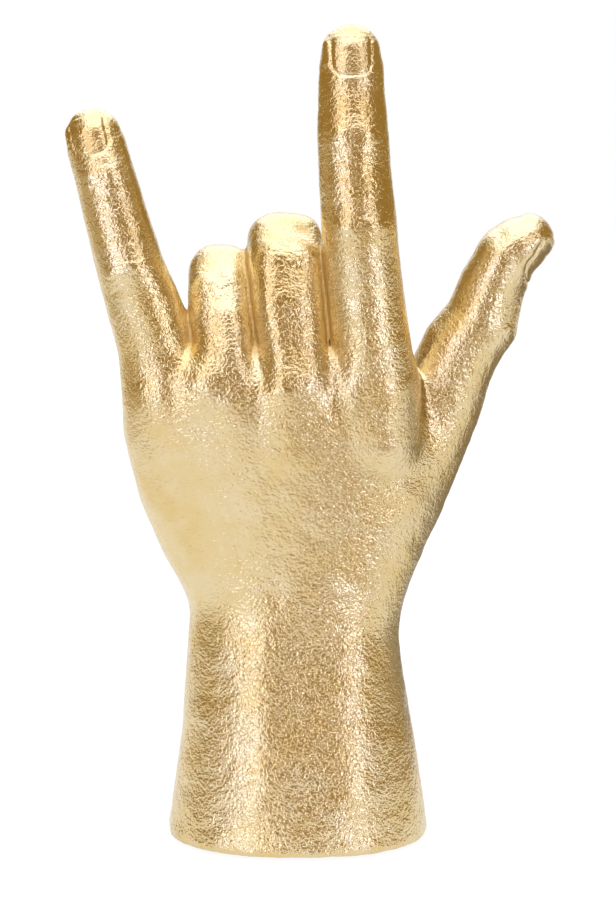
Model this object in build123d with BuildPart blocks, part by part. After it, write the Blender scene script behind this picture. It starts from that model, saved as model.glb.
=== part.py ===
from build123d import *

import os
from dataclasses import dataclass
from math import cos, radians, sin, sqrt

# A hollow slip-cast left hand that stands on its cut wrist. The index finger, the little finger and
# the thumb are stretched out, and the middle and ring fingers are folded into the palm. Wrist and
# palm are one casting. Each digit is cast on its own and luted on with slip: a half-lap spigot on
# the digit stands in a rebated socket of the hand. A plate with a vent closes the wrist, and a felt
# pad covers the plate.
# Frame: +Z up, the origin on the standing surface under the middle of the foot. The back of the
# hand faces -Y and the thumb reaches towards +X. Millimetres and degrees.

# Foot of the wrist
foot_width = 78.0
foot_depth = 62.0
foot_rounding = 1.4
felt_thickness = 1.0
felt_inset = 3.0
plate_thickness = 4.0
plate_rim = 3.0
vent_diameter = 8.0

# Casting walls and luted joints
hand_wall = 6.0
digit_wall = 4.6
spigot_wall = 2.2
spigot_length = 7.0
slip_gap = 0.3

# Forearm and palm. Shifts are to the thumb's side, and sets are towards the palm's side.
wrist_height = 64.0
wrist_width = 62.2
wrist_depth = 43.0
wrist_shift = -1.4
wrist_set = -0.3
knuckle_height = 138.0
knuckle_width = 85.4
knuckle_depth = 32.0
knuckle_shift = -8.3
knuckle_set = -10.0
crown_height = 8.5

# Heel of the hand, the pad below the little finger
heel_width = 28.0
heel_depth = 28.4
heel_shift = -20.8
heel_set = 5.6
heel_lean = -21.0
heel_tilt = -9.5

# Straight digits: where the knuckle's centre lies, then lean to the side, tilt towards the palm and
# length of each bone, then width and depth of the flesh at the seam, the joints and the pad.
index_place = (22.0, -13.5)
index_leans = (-4.6, -4.4, -1.5)
index_tilts = (-5.0, 2.5, 5.0)
index_bones = (52.0, 24.0, 28.6)
index_widths = (23.4, 21.8, 20.6, 19.2)
index_depths = (22.5, 19.8, 17.4, 15.6)
index_nail = (13.4, 12.5)

little_place = (-38.9, -11.5)
little_leans = (-15.2, -15.2, -13.5)
little_tilts = (-5.0, 2.5, 5.0)
little_bones = (38.5, 25.5, 20.5)
little_widths = (21.0, 20.2, 17.8, 16.6)
little_depths = (19.6, 17.6, 15.2, 13.6)
little_nail = (9.8, 10.5)

# Folded digits, with the flexion of the two outer joints in place of the outer leans and tilts
middle_place = (-1.2, -14.8)
middle_lean = -4.6
middle_tilt = 1.5
middle_bones = (30.2, 8.0, 20.0)
middle_folds = (112.0, 70.0)
middle_widths = (19.6, 21.2, 18.6, 17.6)
middle_depths = (21.5, 19.5, 16.0, 14.0)
middle_nail = (12.4, 11.5)

ring_place = (-20.4, -14.0)
ring_lean = -6.0
ring_tilt = 1.5
ring_bones = (22.3, 8.0, 19.0)
ring_folds = (112.0, 70.0)
ring_widths = (17.4, 18.0, 16.8, 16.0)
ring_depths = (20.0, 18.0, 15.0, 13.2)
ring_nail = (11.2, 11.0)

fold_crease = 1.0
knuckle_bury = 20.0
seam_rise = 11.0
core_share = 0.8

# Thumb, whose first bone is the hand's own ball of the thumb
thumb_place = (15.3, 4.0)
thumb_foot = 70.0
thumb_leans = (25.5, 20.0, 29.5, 29.5)
thumb_tilts = (0.0, -2.0, -2.0, -2.0)
thumb_bones = (64.2, 27.6, 10.0, 26.5)
thumb_twist = 78.0
thumb_root_width = 33.0
thumb_root_depth = 29.0
thumb_widths = (23.0, 22.0, 20.6, 22.4)
thumb_depths = (22.6, 22.2, 19.4, 22.2)
thumb_nail = (14.5, 14.0)

# Shared shapes of the flesh
waist_share = 0.965
pad_share = 0.62
nail_proud = 0.45
nail_setback = 2.0
nail_corner = 3.2


@dataclass
class Station:
    """One cross-section of a limb: the plane's X runs across the nail and its normal along the bone."""

    plane: Plane
    width: float
    depth: float


def bone_plane(point, lean, tilt, twist=0.0):
    """The plane square to a bone at a point on it, with its X axis across the nail."""
    side, back, turn = radians(lean), radians(tilt), radians(twist)
    along = Vector(sin(side) * cos(back), sin(back), cos(side) * cos(back))
    across = Vector(cos(side), 0, -sin(side))
    across = across * cos(turn) + along.cross(across) * sin(turn)
    return Plane(origin=point, x_dir=across, z_dir=along)


def nail_side(plane):
    """The direction from the bone towards the nail or the back of the hand."""
    return plane.x_dir.cross(plane.z_dir)


def between(one, other, share):
    """A value part of the way from one to the other."""
    return one + (other - one) * share


def limb(stations, grow=0.0):
    """A limb in straight bands from station to station, larger all round by grow."""
    with BuildPart() as flesh:
        for station in stations:
            with BuildSketch(station.plane):
                Ellipse(station.width / 2 + grow, station.depth / 2 + grow)
        loft(ruled=True)
    return flesh.part


def fingertip(pad, length):
    """The stations of the rounded tip from the pad on, which close in as a quarter ellipse does."""
    stations = [pad]
    for share in (0.35, 0.62, 0.82, 0.94, 0.99):
        closing = sqrt(1 - share**2)
        plane = pad.plane.offset(length * share)
        stations.append(Station(plane, pad.width * closing, pad.depth * closing))
    return stations


def nail_plate(stations, pad, tip_length, size):
    """The nail: what an outline seen from the back of the digit keeps of a slightly larger fingertip."""
    width, length = size
    middle = pad.plane.offset(tip_length - nail_setback - length / 2)
    face = Plane(origin=middle.origin, x_dir=middle.x_dir, z_dir=nail_side(middle))
    with BuildPart() as nail:
        add(limb(stations, nail_proud))
        with BuildSketch(face):
            RectangleRounded(width, length, min(nail_corner, 0.45 * min(width, length)))
        extrude(amount=pad.depth, mode=Mode.INTERSECT)
    return nail.part


def straight_stations(first, leans, tilts, bones, widths, depths, twist=0.0):
    """Stations of a stretched digit from its seam, with a waist in the middle of each bone but the last."""
    stations = [first]
    point = first.plane.origin
    for bone, lean, tilt, width, depth in zip(bones, leans, tilts, widths, depths):
        plane = bone_plane(point, lean, tilt, twist)
        last = stations[-1]
        waist_width = waist_share * (last.width + width) / 2
        waist_depth = waist_share * (last.depth + depth) / 2
        stations.append(Station(plane.offset(bone / 2), waist_width, waist_depth))
        point = plane.offset(bone).origin
        stations.append(Station(bone_plane(point, lean, tilt, twist), width, depth))
    return stations


def luted_digit(flesh, seam, nail, first_bone, label):
    """A finished digit: flesh and nail on a spigot, with the drained core open through the spigot."""
    with BuildPart() as digit:
        add(flesh)
        add(nail)
        with BuildSketch(seam.plane):
            Ellipse(seam.width / 2 - digit_wall + spigot_wall, seam.depth / 2 - digit_wall + spigot_wall)
        extrude(amount=-spigot_length)
        with BuildSketch(seam.plane.offset(-spigot_length)):
            Ellipse(seam.width / 2 - digit_wall, seam.depth / 2 - digit_wall)
        extrude(amount=spigot_length + core_share * first_bone, mode=Mode.SUBTRACT)
    digit.part.label = label
    return digit.part


def straight_digit(seam, leans, tilts, bones, widths, depths, nail_size, label, twist=0.0):
    """A stretched digit, whose last bone carries the pad and the rounded tip."""
    shaft = straight_stations(seam, leans[:-1], tilts[:-1], bones[:-1], widths[:-1], depths[:-1], twist)
    root = bone_plane(shaft[-1].plane.origin, leans[-1], tilts[-1], twist)
    pad = Station(root.offset(pad_share * bones[-1]), widths[-1], depths[-1])
    tip_length = (1 - pad_share) * bones[-1]
    tip = fingertip(pad, tip_length)
    nail = nail_plate([shaft[-1], *tip], pad, tip_length, nail_size)
    return luted_digit(limb([*shaft, *tip]), seam, nail, bones[0], label)


def folded_digit(seam, lean, tilt, bones, folds, widths, depths, nail_size, label):
    """A digit folded at its two outer joints, with its tip turned back to the palm."""
    upper = Station(seam.plane.offset(bones[0] - seam_rise), widths[1], depths[1])
    with BuildPart() as flesh:
        add(limb([seam, upper]))
        turned, station = tilt, upper
        sizes = zip(folds, bones[1:], widths[2:], depths[2:])
        for joint, (fold, bone, width, depth) in enumerate(sizes):
            reach = station.depth / 2 + fold_crease
            pivot = station.plane.origin - nail_side(station.plane) * reach
            with BuildSketch(station.plane):
                Ellipse(station.width / 2, station.depth / 2)
            revolve(axis=Axis(pivot, station.plane.x_dir * -1), revolution_arc=fold)
            turned += fold
            heading = bone_plane(pivot, lean, turned)
            heading.origin = pivot + nail_side(heading) * reach
            start = Station(heading, station.width, station.depth)
            if joint == 0:
                station = Station(heading.offset(bone), width, depth)
                add(limb([start, station]))
        pad = Station(start.plane.offset(pad_share * bones[2]), widths[3], depths[3])
        tip_length = (1 - pad_share) * bones[2]
        tip_stations = [start, *fingertip(pad, tip_length)]
        add(limb(tip_stations))
        # Flesh pressed together inside the fold, down to just above the seam
        across_fold = start.plane.origin - upper.plane.origin
        inside = Plane(upper.plane.origin + across_fold / 2, x_dir=seam.plane.x_dir, z_dir=seam.plane.z_dir)
        with BuildSketch(inside):
            Ellipse(0.42 * widths[1], across_fold.length / 2)
        extrude(amount=0.3 * depths[1])
        with BuildSketch(inside):
            Ellipse(0.42 * widths[1], across_fold.length / 2)
        extrude(amount=fold_crease + seam_rise - bones[0])
    nail = nail_plate(tip_stations, pad, tip_length, nail_size)
    return luted_digit(flesh.part, seam, nail, bones[0] - seam_rise, label)


def knuckle_plane(place, lean, tilt):
    """The plane across a finger's knuckle."""
    return bone_plane(Vector(*place, knuckle_height), lean, tilt)


def finger_seam(place, lean, tilt, width, depth):
    """The seam where a finger is luted on, just beyond its knuckle."""
    return Station(knuckle_plane(place, lean, tilt).offset(seam_rise), width, depth)


def finger_stump(seam):
    """The hand's own part of a finger, from inside the palm over the knuckle to the seam."""
    root = seam.plane.offset(-seam_rise - knuckle_bury)
    knuckle = seam.plane.offset(-seam_rise)
    return limb(
        [
            Station(root, 0.80 * seam.width, 0.62 * seam.depth),
            Station(knuckle, 1.02 * seam.width, 1.06 * seam.depth),
            seam,
        ]
    )


def hand_rings():
    """(height, centre x, centre y, width, depth) of the rings from the foot over the wrist to the crown."""
    rings = []
    for rise, taper in ((0, 0), (0.17, 0.14), (0.34, 0.30), (0.52, 0.54), (0.69, 0.74), (0.85, 0.90)):
        rings.append(
            (
                between(felt_thickness, wrist_height, rise),
                wrist_shift * taper,
                wrist_set * taper,
                between(foot_width, wrist_width, taper),
                between(foot_depth, wrist_depth, taper),
            )
        )
    for rise, spread, sink in (
        (0, 0, 0),
        (0.10, 0.0, 0.02),
        (0.19, 0.09, 0.06),
        (0.30, 0.29, 0.15),
        (0.42, 0.50, 0.30),
        (0.55, 0.68, 0.50),
        (0.68, 0.82, 0.70),
        (0.82, 0.94, 0.87),
        (1, 1, 1),
    ):
        rings.append(
            (
                between(wrist_height, knuckle_height, rise),
                between(wrist_shift, knuckle_shift, spread),
                between(wrist_set, knuckle_set, sink),
                between(wrist_width, knuckle_width, spread),
                between(wrist_depth, knuckle_depth, rise),
            )
        )
    return rings


def ring_loft(rings, grow=0.0):
    """A body through level elliptical rings, larger all round by grow."""
    return limb([Station(Plane((x, y, z)), width, depth) for z, x, y, width, depth in rings], grow)


# Seams of the five digits
index_seam = finger_seam(index_place, index_leans[0], index_tilts[0], index_widths[0], index_depths[0])
middle_seam = finger_seam(middle_place, middle_lean, middle_tilt, middle_widths[0], middle_depths[0])
ring_seam = finger_seam(ring_place, ring_lean, ring_tilt, ring_widths[0], ring_depths[0])
little_seam = finger_seam(little_place, little_leans[0], little_tilts[0], little_widths[0], little_depths[0])
thumb_root = bone_plane(Vector(*thumb_place, thumb_foot), thumb_leans[0], thumb_tilts[0], thumb_twist)
thumb_seam = Station(thumb_root.offset(thumb_bones[0]), thumb_widths[0], thumb_depths[0])
seams = [thumb_seam, index_seam, middle_seam, ring_seam, little_seam]

# Ball of the thumb and heel of the hand
thumb_ball_stations = [
    Station(thumb_root.offset(-0.14 * thumb_bones[0]), 0.60 * thumb_root_width, 0.60 * thumb_root_depth),
    Station(thumb_root.offset(0.04 * thumb_bones[0]), 0.92 * thumb_root_width, 0.92 * thumb_root_depth),
    Station(thumb_root.offset(0.25 * thumb_bones[0]), 1.06 * thumb_root_width, thumb_root_depth),
    Station(thumb_root.offset(0.50 * thumb_bones[0]), thumb_root_width, 0.98 * thumb_root_depth),
    Station(thumb_root.offset(0.76 * thumb_bones[0]), 0.84 * thumb_root_width, 0.90 * thumb_root_depth),
    thumb_seam,
]
heel_root = bone_plane(Vector(heel_shift, heel_set, wrist_height + 0.12 * knuckle_height), heel_lean, heel_tilt)
heel_length = 0.72 * (knuckle_height - wrist_height)
heel_stations = [
    Station(heel_root.offset(heel_length * share), heel_width * swell, heel_depth * swell)
    for share, swell in ((-0.16, 0.48), (0, 0.80), (0.2, 0.94), (0.4, 1.0), (0.6, 0.95), (0.8, 0.81), (1, 0.54))
]

# Hand: wrist, palm and the stumps of the digits, cast as one shell
rings = hand_rings()
crown = rings[-1]
web = (crown[0] + 0.6 * crown_height, crown[1], crown[2], 0.95 * crown[3], 0.84 * crown[4])
top = (crown[0] + crown_height, crown[1], crown[2], 0.80 * crown[3], 0.46 * crown[4])
with BuildPart() as hand_shell:
    add(ring_loft([*rings, web, top]))
    add(limb(thumb_ball_stations))
    add(limb(heel_stations))
    for seam in seams[1:]:
        add(finger_stump(seam))
    foot_edge = hand_shell.edges().group_by(Axis.Z)[0]
    fillet(foot_edge, foot_rounding)
    add(ring_loft(rings, -hand_wall), mode=Mode.SUBTRACT)
    add(limb(thumb_ball_stations[:-1], -hand_wall), mode=Mode.SUBTRACT)
    with BuildSketch(Plane.XY.offset(felt_thickness)):
        Ellipse(foot_width / 2 - plate_rim, foot_depth / 2 - plate_rim)
    extrude(amount=plate_thickness, mode=Mode.SUBTRACT)
    for seam in seams:
        with BuildSketch(seam.plane):
            Ellipse(
                seam.width / 2 - digit_wall + spigot_wall + slip_gap,
                seam.depth / 2 - digit_wall + spigot_wall + slip_gap,
            )
        extrude(amount=-spigot_length - slip_gap, mode=Mode.SUBTRACT)
        with BuildSketch(seam.plane):
            Ellipse(seam.width / 2 - digit_wall, seam.depth / 2 - digit_wall)
        extrude(amount=-seam_rise - knuckle_bury / 2, mode=Mode.SUBTRACT)
hand_shell.part.label = "hand_shell"

# Digits
digits = [
    straight_digit(
        index_seam,
        index_leans,
        index_tilts,
        (index_bones[0] - seam_rise, *index_bones[1:]),
        index_widths[1:],
        index_depths[1:],
        index_nail,
        "index_finger",
    ),
    straight_digit(
        little_seam,
        little_leans,
        little_tilts,
        (little_bones[0] - seam_rise, *little_bones[1:]),
        little_widths[1:],
        little_depths[1:],
        little_nail,
        "little_finger",
    ),
    straight_digit(
        thumb_seam,
        thumb_leans[1:],
        thumb_tilts[1:],
        thumb_bones[1:],
        thumb_widths[1:],
        thumb_depths[1:],
        thumb_nail,
        "thumb",
        thumb_twist,
    ),
    folded_digit(
        middle_seam,
        middle_lean,
        middle_tilt,
        middle_bones,
        middle_folds,
        middle_widths,
        middle_depths,
        middle_nail,
        "middle_finger",
    ),
    folded_digit(
        ring_seam,
        ring_lean,
        ring_tilt,
        ring_bones,
        ring_folds,
        ring_widths,
        ring_depths,
        ring_nail,
        "ring_finger",
    ),
]

# Plate that closes the wrist, with the vent that lets the kiln's steam out
with BuildPart() as base_plate:
    with BuildSketch(Plane.XY.offset(felt_thickness)):
        Ellipse(foot_width / 2 - plate_rim - slip_gap, foot_depth / 2 - plate_rim - slip_gap)
        Circle(vent_diameter / 2, mode=Mode.SUBTRACT)
    extrude(amount=plate_thickness)
base_plate.part.label = "base_plate"

# Felt pad glued over the plate and the rim of the foot
with BuildPart() as felt_pad:
    with BuildSketch():
        Ellipse(foot_width / 2 - felt_inset, foot_depth / 2 - felt_inset)
    extrude(amount=felt_thickness)
felt_pad.part.label = "felt_pad"

os.makedirs("parts", exist_ok=True)
for piece in [hand_shell.part, *digits, base_plate.part, felt_pad.part]:
    export_step(piece, f"parts/{piece.label}.step")
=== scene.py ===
"""Looks of a gilded ceramic hand that stands on its cut wrist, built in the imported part's own frame."""

import logging
import math
from dataclasses import dataclass
from enum import Enum

import bmesh
import bpy
import numpy as np
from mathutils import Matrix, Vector


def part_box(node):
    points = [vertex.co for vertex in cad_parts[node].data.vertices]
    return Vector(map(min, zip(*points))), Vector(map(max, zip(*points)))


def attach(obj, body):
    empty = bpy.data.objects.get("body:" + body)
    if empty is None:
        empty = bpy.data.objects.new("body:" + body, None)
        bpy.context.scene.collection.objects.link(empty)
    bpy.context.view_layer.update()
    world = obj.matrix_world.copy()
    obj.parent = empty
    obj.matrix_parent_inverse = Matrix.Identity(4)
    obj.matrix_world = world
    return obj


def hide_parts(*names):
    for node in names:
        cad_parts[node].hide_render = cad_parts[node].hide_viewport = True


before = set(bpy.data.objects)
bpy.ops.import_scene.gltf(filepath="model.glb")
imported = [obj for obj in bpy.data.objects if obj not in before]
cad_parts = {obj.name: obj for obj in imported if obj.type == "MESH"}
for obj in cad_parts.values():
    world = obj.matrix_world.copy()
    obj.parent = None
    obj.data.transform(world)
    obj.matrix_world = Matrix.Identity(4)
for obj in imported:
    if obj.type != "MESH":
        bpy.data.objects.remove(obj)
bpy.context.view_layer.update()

log = logging.getLogger("hand")

Triple = tuple[float, float, float]
Colour = tuple[float, float, float, float]
Array = np.ndarray

MM = 0.001
FAR_AWAY = 40.0


def unit(vector: Array) -> Array:
    """The vector at length one."""
    return vector / np.linalg.norm(vector)


def smooth_step(low: float, high: float, value: Array) -> Array:
    """A soft ramp from 0 at low to 1 at high.

    Args:
        low: where the ramp starts.
        high: where the ramp ends.
        value: what is ramped.

    Returns:
        The ramp at each value.
    """
    share = np.clip((value - low) / (high - low), 0.0, 1.0)
    return share * share * (3.0 - 2.0 * share)


def bell(value: Array, width: float) -> Array:
    """A bell curve of height 1 that has fallen to 0.37 at the width."""
    return np.exp(-((value / width) ** 2))


def soft_union(one: Array, other: Array, reach: float) -> Array:
    """The distance to two bodies that flow into each other.

    Args:
        one: distance to the first body.
        other: distance to the second body.
        reach: how far from the crease the fillet between them starts.

    Returns:
        The joined distance.
    """
    share = np.clip(0.5 + 0.5 * (other - one) / reach, 0.0, 1.0)
    return other + (one - other) * share - reach * share * (1.0 - share)


def put(name: str, data: bpy.types.ID) -> bpy.types.Object:
    """An object of the scene that shows a mesh, a lamp or a camera."""
    thing = bpy.data.objects.new(name, data)
    bpy.context.scene.collection.objects.link(thing)
    return thing


class Piece(Enum):
    """The cast pieces, by the names of the solids that they stand for."""

    HAND = "hand_shell"
    THUMB = "thumb"
    INDEX = "index_finger"
    MIDDLE = "middle_finger"
    RING = "ring_finger"
    LITTLE = "little_finger"


@dataclass(frozen=True)
class Station:
    """A cross-section of a digit in millimetres: its centre, half its width, and its two half depths."""

    place: Triple
    width: float
    back: float
    front: float


@dataclass(frozen=True)
class Bone:
    """A local frame on a digit: where it is, along the bone, across the nail and out of the back."""

    place: Array
    along: Array
    across: Array
    back: Array

    def local(self, points: Array) -> tuple[Array, Array, Array]:
        """Points as (along, across, out of the back), in millimetres."""
        offset = points - self.place
        return offset @ self.along, offset @ self.across, offset @ self.back


@dataclass(frozen=True)
class Limb:
    """A chain of elliptical cross-sections with rounded ends."""

    stations: tuple[Station, ...]
    across: Triple
    tip: float
    root: float = 8.0
    squareness: float = 2.0

    def bone(self, number: int) -> Bone:
        """The frame of one stretch of the chain, at its start.

        Args:
            number: which stretch, counted from the root.

        Returns:
            The frame at the stretch's first station.
        """
        start = np.array(self.stations[number].place)
        along = unit(np.array(self.stations[number + 1].place) - start)
        across = np.array(self.across)
        across = unit(across - along * (across @ along))
        return Bone(start, along, across, np.cross(across, along))

    def distance(self, x: Array, y: Array, z: Array) -> Array:
        """The distance to the limb's skin at each point, in millimetres and below zero inside."""
        return self.nearest(x, y, z)[1]

    def nearest(self, x: Array, y: Array, z: Array) -> tuple[Array, Array]:
        """The stretch of the limb that is nearest, and the distance to its skin.

        Args:
            x: first coordinates, in millimetres.
            y: second coordinates.
            z: third coordinates.

        Returns:
            The stretch's number, counted from the root, and the distance, at each point.
        """
        stretch: Array | None = None
        nearest: Array | None = None
        last = len(self.stations) - 2
        for number in range(last + 1):
            one, other = self.stations[number], self.stations[number + 1]
            bone = self.bone(number)
            length = float(np.linalg.norm(np.array(other.place) - bone.place))
            dx, dy, dz = x - bone.place[0], y - bone.place[1], z - bone.place[2]
            along = dx * bone.along[0] + dy * bone.along[1] + dz * bone.along[2]
            across = dx * bone.across[0] + dy * bone.across[1] + dz * bone.across[2]
            out = dx * bone.back[0] + dy * bone.back[1] + dz * bone.back[2]
            share = np.clip(along / length, 0.0, 1.0)
            width = one.width + (other.width - one.width) * share
            back = one.back + (other.back - one.back) * share
            front = one.front + (other.front - one.front) * share
            depth = np.where(out > 0.0, back, front)
            beyond = along - share * length
            cap = 0.5 * (width + depth)
            if number == last:
                cap = np.where(beyond > 0.0, self.tip, cap)
            if number == 0:
                cap = np.where(beyond < 0.0, self.root, cap)
            if self.squareness == 2.0:
                round_share = (across / width) ** 2 + (out / depth) ** 2
            else:
                wide, deep = np.abs(across / width), np.abs(out / depth)
                round_share = (wide**self.squareness + deep**self.squareness) ** (2.0 / self.squareness)
            near = np.sqrt(round_share + (beyond / cap) ** 2)
            slope = np.sqrt((across / width**2) ** 2 + (out / depth**2) ** 2 + (beyond / cap**2) ** 2)
            found = near * (near - 1.0) / np.maximum(slope, 1e-4)
            if nearest is None:
                nearest, stretch = found, np.zeros(found.shape, np.int8)
            else:
                stretch = np.where(found < nearest, np.int8(number), stretch)
                nearest = np.minimum(nearest, found)
        return stretch, nearest

    def box(self, margin: float) -> tuple[Array, Array]:
        """The lowest and highest corner of the limb, with a margin round it."""
        places = np.array([station.place for station in self.stations])
        reach = max(max(s.width, s.back, s.front) for s in self.stations) + margin
        return places.min(axis=0) - reach, places.max(axis=0) + reach


@dataclass(frozen=True)
class Ring:
    """A level cross-section of the forearm and palm: its height and its four edges, in millimetres."""

    height: float
    left: float
    right: float
    back: float
    front: float


@dataclass(frozen=True)
class Trunk:
    """Forearm and palm as one upright body of rounded sections, cut level at the foot."""

    rings: tuple[Ring, ...]
    foot: float
    crown: float
    squareness: float = 2.25
    soften: float = 3.0
    foot_edge: float = 1.3
    crown_edge: float = 9.0
    deepest: float = 18.0

    def edges(self, z: Array) -> list[Array]:
        """Left, right, back and front edge at each height, with the corners between the rings eased.

        Args:
            z: heights in millimetres.

        Returns:
            The four edges, each of the shape of z.
        """
        step = 0.5
        heights = np.arange(self.rings[0].height - 30.0, self.rings[-1].height + 30.0, step)
        reach = int(3 * self.soften / step)
        kernel = np.exp(-0.5 * (np.arange(-reach, reach + 1) * step / self.soften) ** 2)
        kernel /= kernel.sum()
        known = [ring.height for ring in self.rings]
        found = []
        for name in ("left", "right", "back", "front"):
            line = np.interp(heights, known, [getattr(ring, name) for ring in self.rings])
            eased = np.convolve(np.pad(line, reach, mode="edge"), kernel, mode="valid")
            found.append(np.interp(z, heights, eased))
        return found

    def distance(self, x: Array, y: Array, z: Array) -> Array:
        """The distance to the trunk's skin, below zero inside.

        Args:
            x: first coordinates, in millimetres.
            y: second coordinates.
            z: third coordinates.

        Returns:
            The distance at each point.
        """
        left, right, back, front = self.edges(z)
        dx = x - 0.5 * (left + right)
        dy = y - 0.5 * (back + front)
        wide = np.abs(dx) / (0.5 * (right - left))
        deep = np.abs(dy) / (0.5 * (front - back))
        share = (wide**self.squareness + deep**self.squareness) ** (1.0 / self.squareness)
        share = np.maximum(share, 1e-3)
        side = np.sqrt(dx * dx + dy * dy) * (1.0 - 1.0 / share)
        side = np.maximum(side, -self.deepest)
        cut = -soft_union(-side, -(self.foot - z), self.foot_edge)
        return -soft_union(-cut, -(z - self.crown), self.crown_edge)


class Voxels:
    """A block of distances on a regular lattice, in millimetres."""

    def __init__(self, low: Triple, high: Triple, step: float) -> None:
        """Lays out the lattice.

        Args:
            low: lowest corner.
            high: highest corner.
            step: distance between neighbours.
        """
        self.low = np.array(low)
        self.step = step
        self.shape = tuple(int(math.ceil((b - a) / step)) + 1 for a, b in zip(low, high))
        self.values = np.full(self.shape, FAR_AWAY, np.float32)

    def axes(self, start: Array, stop: Array) -> list[Array]:
        """The open coordinate axes of a box of the lattice, from start up to stop."""
        found = []
        for axis in range(3):
            line = self.low[axis] + self.step * np.arange(start[axis], stop[axis])
            shape = [1, 1, 1]
            shape[axis] = len(line)
            found.append(line.astype(np.float32).reshape(shape))
        return found

    def add(self, body: Limb | Trunk, reach: float, corners: tuple[Array, Array] | None = None) -> None:
        """Flows a body into what is there.

        Args:
            body: what is added.
            reach: size of the fillet.
            corners: the part of the lattice that it reaches, or all of it.
        """
        start = np.zeros(3, int)
        stop = np.array(self.shape)
        if corners is not None:
            start = np.clip(np.floor((corners[0] - self.low) / self.step).astype(int), 0, self.shape)
            stop = np.clip(np.ceil((corners[1] - self.low) / self.step).astype(int) + 1, 0, self.shape)
        slab = 24
        for bottom in range(start[2], stop[2], slab):
            top = min(bottom + slab, stop[2])
            x, y, z = self.axes((start[0], start[1], bottom), (stop[0], stop[1], top))
            where = (slice(start[0], stop[0]), slice(start[1], stop[1]), slice(bottom, top))
            self.values[where] = soft_union(self.values[where], body.distance(x, y, z), reach)

    def ease(self, spread: float) -> None:
        """Softens all creases a little, with a bell of that many lattice steps."""
        reach = int(math.ceil(2.5 * spread))
        kernel = np.exp(-0.5 * (np.arange(-reach, reach + 1) / spread) ** 2)
        kernel /= kernel.sum()
        for axis in range(3):
            border = [(reach, reach) if a == axis else (0, 0) for a in range(3)]
            padded = np.pad(self.values, border, mode="edge")
            total = np.zeros_like(self.values)
            for number, weight in enumerate(kernel):
                window = [slice(None)] * 3
                window[axis] = slice(number, number + self.shape[axis])
                total += np.float32(weight) * padded[tuple(window)]
            self.values = total

    def sample(self, points: Array) -> Array:
        """The distance at any points, read between the lattice's own."""
        place = (points - self.low) / self.step
        corner = np.clip(np.floor(place).astype(int), 0, np.array(self.shape) - 2)
        part = place - corner
        total = np.zeros(len(points))
        for shift in np.ndindex(2, 2, 2):
            weight = np.prod(np.where(np.array(shift) == 1, part, 1.0 - part), axis=1)
            at = corner + np.array(shift)
            total += weight * self.values[at[:, 0], at[:, 1], at[:, 2]]
        return total

    def slope(self, points: Array) -> Array:
        """The direction in which the distance grows fastest, and how fast."""
        found = np.empty_like(points)
        for axis in range(3):
            shift = np.zeros(3)
            shift[axis] = self.step
            ahead, behind = self.sample(points + shift), self.sample(points - shift)
            found[:, axis] = (ahead - behind) / (2.0 * self.step)
        return found

    def settle(self, points: Array, rounds: int = 2) -> Array:
        """Points that lie near the skin, moved onto it.

        Args:
            points: what is moved.
            rounds: how many steps are taken.

        Returns:
            The moved points.
        """
        for _ in range(rounds):
            slope = self.slope(points)
            size = np.maximum((slope * slope).sum(axis=1), 0.05)
            step = np.clip(self.sample(points) / size, -self.step, self.step)
            points = points - slope * step[:, None]
        return points

    def skin(self) -> tuple[Array, Array]:
        """The surface where the distance is zero.

        Returns:
            Its points in millimetres and its four-sided faces.
        """
        inside = self.values < 0.0
        cells = tuple(n - 1 for n in self.shape)
        count = np.zeros(cells, np.uint8)
        corners = list(np.ndindex(2, 2, 2))
        for a, b, c in corners:
            count += inside[a : a + cells[0], b : b + cells[1], c : c + cells[2]]
        mixed = (count > 0) & (count < 8)
        found = np.argwhere(mixed)
        number = np.full(cells, -1, np.int64)
        number[mixed] = np.arange(len(found))
        values = [self.values[found[:, 0] + a, found[:, 1] + b, found[:, 2] + c] for a, b, c in corners]
        total = np.zeros((len(found), 3))
        hits = np.zeros(len(found))
        for one, first in enumerate(corners):
            for other, second in enumerate(corners):
                if other <= one or sum(abs(p - q) for p, q in zip(first, second)) != 1:
                    continue
                crossed = (values[one] < 0.0) != (values[other] < 0.0)
                gap = np.where(crossed, values[one] - values[other], 1.0)
                share = np.where(crossed, values[one] / gap, 0.0)
                point = np.array(first) + share[:, None] * (np.array(second) - np.array(first))
                total += point * crossed[:, None]
                hits += crossed
        points = self.low + self.step * (found + total / hits[:, None])
        faces = []
        for axis in range(3):
            one, other = np.eye(3, dtype=int)[(axis + 1) % 3], np.eye(3, dtype=int)[(axis + 2) % 3]
            low = inside[tuple(slice(0, -1) if a == axis else slice(None) for a in range(3))]
            high = inside[tuple(slice(1, None) if a == axis else slice(None) for a in range(3))]
            at = np.argwhere(low != high)
            kept = np.all(at - one - other >= 0, axis=1) & np.all(at < np.array(cells), axis=1)
            at = at[kept]
            outward = low[at[:, 0], at[:, 1], at[:, 2]]
            ring = [at, at - one, at - one - other, at - other]
            quad = np.stack([number[r[:, 0], r[:, 1], r[:, 2]] for r in ring], axis=1)
            faces.append(np.where(outward[:, None], quad, quad[:, ::-1]))
        return points, np.concatenate(faces)


@dataclass(frozen=True)
class Nail:
    """A nail in millimetres: its width, its length and how far it ends short of the digit's tip."""

    width: float
    length: float
    setback: float


@dataclass(frozen=True)
class Digit:
    """One digit: its limb, the plane where it is luted to the hand, its joints and its nail."""

    piece: Piece
    limb: Limb
    seam: Triple
    seam_along: Triple
    joints: tuple[int, ...]
    nail: Nail
    seam_stretch: int = 1


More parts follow.
